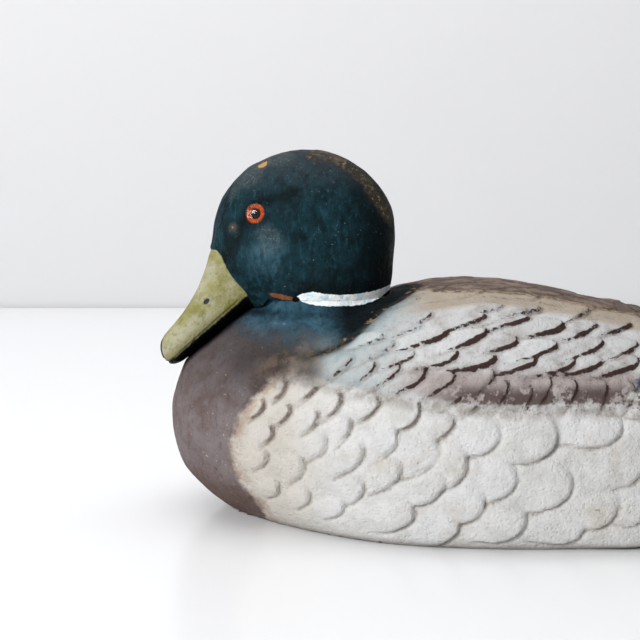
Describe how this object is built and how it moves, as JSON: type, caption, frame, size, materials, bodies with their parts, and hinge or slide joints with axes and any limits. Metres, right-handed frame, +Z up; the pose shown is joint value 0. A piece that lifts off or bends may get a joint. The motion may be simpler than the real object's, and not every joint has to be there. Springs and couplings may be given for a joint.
{
  "type": "floating duck decoy",
  "caption": "Hollow moulded-fibre mallard drake decoy with a bolted turning head, glass eyes, an inset bottom board, inner ballast and an anchor-line ring.",
  "frame": {"origin": "centre of the underside, on the surface the decoy stands on", "axes": "+X to the tail, so the bill points to -X; -Y is the duck's left side; +Z up"},
  "size_m": [0.4007, 0.1644, 0.18],
  "materials": {
    "painted_body": "flat weathered paint on moulded fibre",
    "painted_head": "flat weathered dark green paint",
    "board": "worn varnished pine",
    "eye_glass": "polished clear glass",
    "eye_iris": "orange-brown enamel behind the glass",
    "eye_pupil": "black glass",
    "brass": "dull, tarnished",
    "steel": "dull zinc plate",
    "lead": "dull grey cast lead",
    "leather": "plain oiled"
  },
  "bodies": {
    "hull": {"ballast_screw_1": "brass", "ballast_screw_2": "brass", "ballast_weight": "lead", "body_shell": "painted_body", "bottom_board": "board", "bottom_screw_01": "brass", "bottom_screw_02": "brass", "bottom_screw_03": "brass", "bottom_screw_04": "brass", "bottom_screw_05": "brass", "bottom_screw_06": "brass", "bottom_screw_07": "brass", "bottom_screw_08": "brass", "bottom_screw_09": "brass", "bottom_screw_10": "brass", "neck_block": "board", "neck_washer": "leather", "tie_block": "board", "tie_clip": "brass", "tie_screw_1": "brass", "tie_screw_2": "brass"},
    "head": {"head": "painted_head", "head_bolt": "steel", "bolt_washer": "steel", "wing_nut": "steel", "eye_glass_left": "eye_glass", "eye_iris_left": "eye_iris", "eye_pupil_left": "eye_pupil", "eye_wire_left": "steel", "eye_glass_right": "eye_glass", "eye_iris_right": "eye_iris", "eye_pupil_right": "eye_pupil", "eye_wire_right": "steel"},
    "ring": {"tie_ring": "brass"}
  },
  "joints": [
    {"name": "head_turn", "type": "hinge", "parent": "hull", "child": "head", "pos_m": [-0.1185, 0, 0.108], "axis": [0, 0, 1], "range_deg": [-35, 35]},
    {"name": "tie_ring_swing", "type": "hinge", "parent": "hull", "child": "ring", "pos_m": [-0.106, 0, 0.0036], "axis": [0, 1, 0], "range_deg": [-8, 125]}
  ]
}
